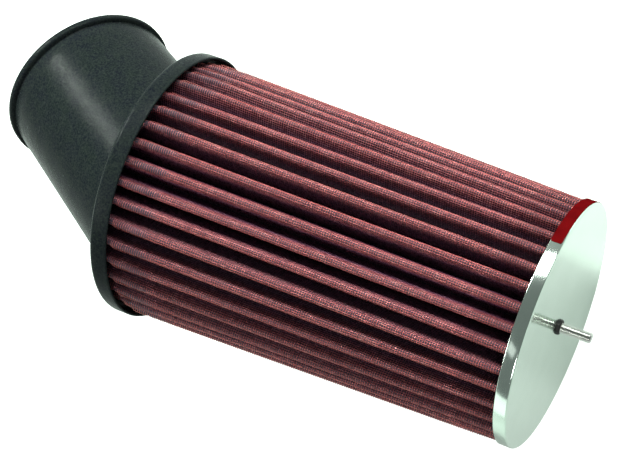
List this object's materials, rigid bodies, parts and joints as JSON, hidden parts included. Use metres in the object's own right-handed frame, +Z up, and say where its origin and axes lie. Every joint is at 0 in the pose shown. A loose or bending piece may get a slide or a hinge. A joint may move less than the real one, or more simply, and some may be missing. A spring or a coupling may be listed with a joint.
{
  "type": "clamp-on pleated air filter with angled neck",
  "caption": "Tapered pleated cotton air filter with a steel cap and stud at one end and an angled rubber neck at the other.",
  "frame": {"origin": "middle of the underside of the box round the filter, as it rests on its side on a bench", "axes": "+Z up; +X from the rubber neck to the steel cap, along the level part of the filter's axis, which dips 2.3 degrees towards the cap; the neck leans towards +Y and down"},
  "size_m": [0.311, 0.1356, 0.1308],
  "materials": {
    "boot_rubber": "moulded satin rubber, dark green-grey",
    "red_mesh": "woven aluminium wire with a thin red epoxy coat",
    "cotton_gauze": "cotton gauze wetted with red filter oil",
    "bare_aluminium": "plain sheet",
    "polished_steel": "mirror-polished and chrome-plated sheet",
    "zinc_steel": "zinc-plated",
    "potting": "cast black urethane",
    "label_red": "printed vinyl, red, with no wording"
  },
  "bodies": {
    "root": {"rubber_boot": "boot_rubber", "outer_wire_mesh": "red_mesh", "inner_wire_mesh": "red_mesh", "gauze_ply_1": "cotton_gauze", "gauze_ply_2": "cotton_gauze", "gauze_ply_3": "cotton_gauze", "gauze_ply_4": "cotton_gauze", "seam_strip": "bare_aluminium", "end_cap": "polished_steel", "cap_potting": "potting", "stud_washer": "zinc_steel", "threaded_stud": "zinc_steel", "stud_seal": "potting", "rim_label": "label_red"}
  },
  "joints": []
}
